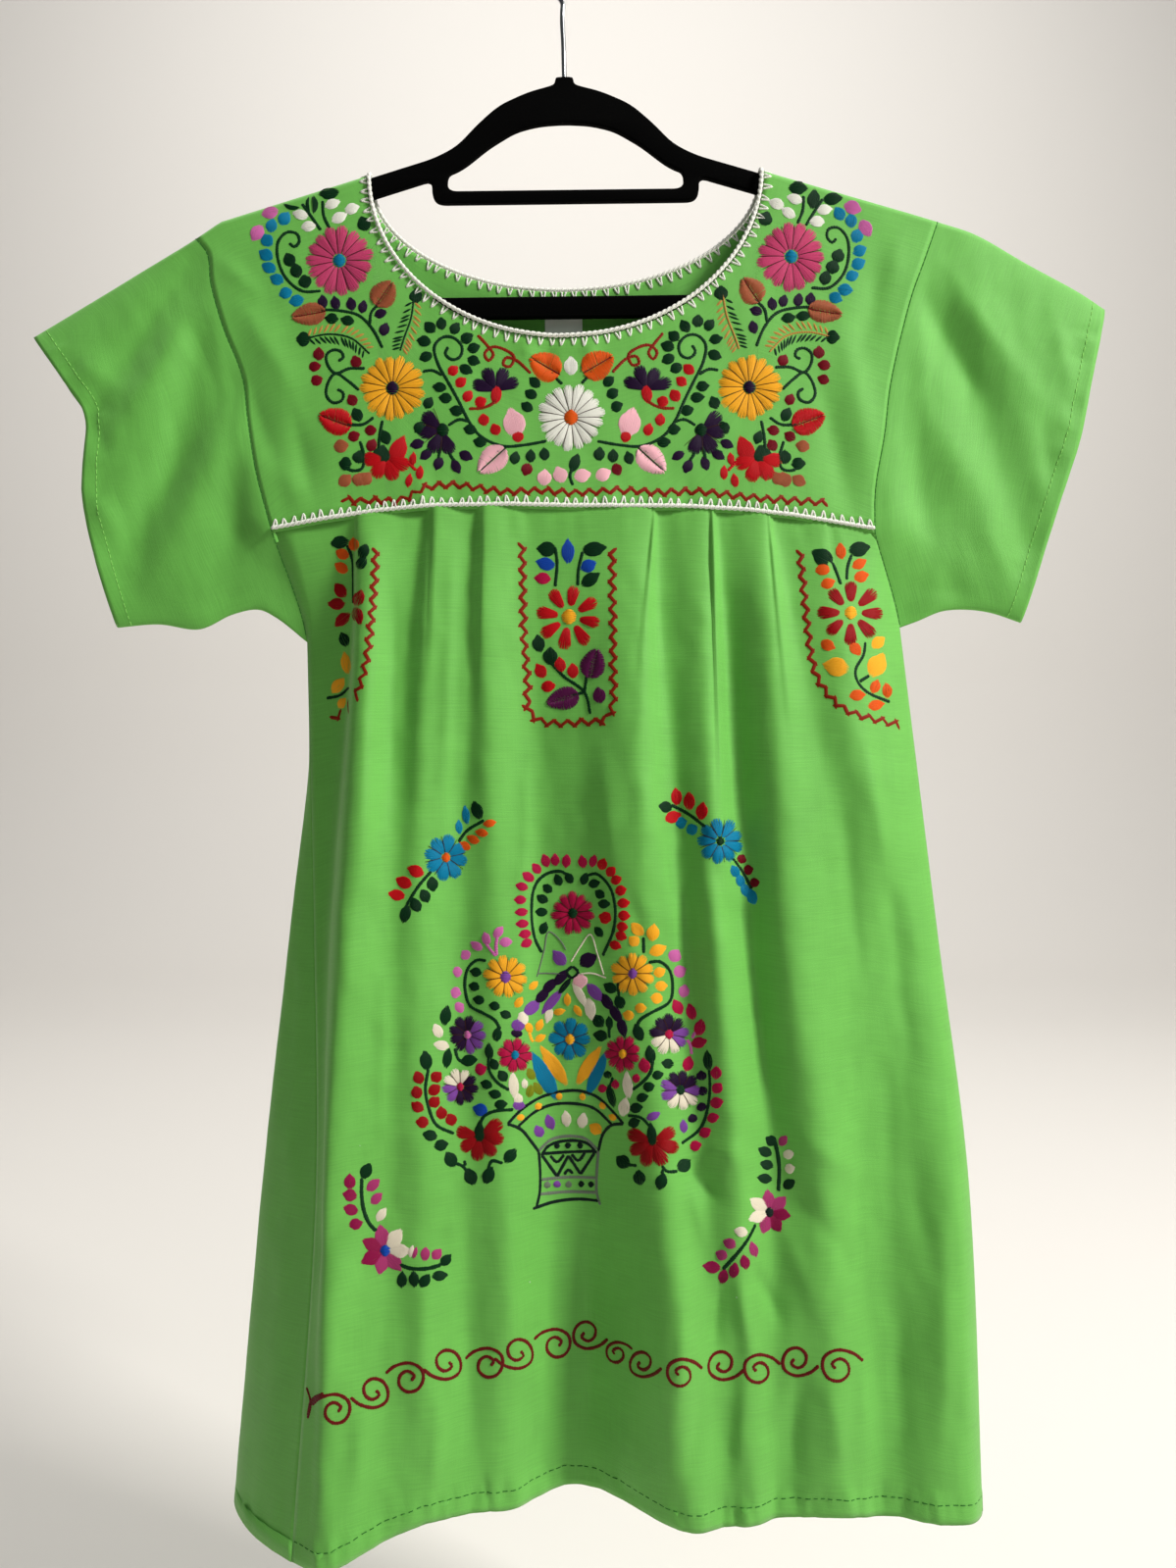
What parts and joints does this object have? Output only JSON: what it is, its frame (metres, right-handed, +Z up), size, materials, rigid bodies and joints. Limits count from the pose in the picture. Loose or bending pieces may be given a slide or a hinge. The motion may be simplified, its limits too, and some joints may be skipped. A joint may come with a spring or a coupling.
{
  "type": "embroidered mexican dress on a clothes hanger",
  "caption": "Green cotton dress with embroidered yoke, white crocheted edging and pleated skirt, hanging open and empty on a flocked hanger with a steel hook.",
  "frame": {"origin": "inside of the top of the hanger's hook, where a rail carries it", "axes": "+Z up, +X to the viewer's right, -Y out of the dress's front"},
  "size_m": [0.6546, 0.1092, 0.956],
  "materials": {
    "green_cotton": "plain-weave cotton with a slight sheen",
    "white_thread": "crocheted cotton thread",
    "pale_tag": "woven tape, blank",
    "black_flock": "short black flock",
    "bright_steel": "plated wire"
  },
  "bodies": {
    "root": {"yoke": "green_cotton", "skirt_front": "green_cotton", "skirt_back": "green_cotton", "sleeve_left": "green_cotton", "sleeve_right": "green_cotton", "neck_edging": "white_thread", "yoke_edging_front": "white_thread", "yoke_edging_back": "white_thread", "neck_label": "pale_tag", "hanger": "black_flock", "hook": "bright_steel"}
  },
  "joints": []
}
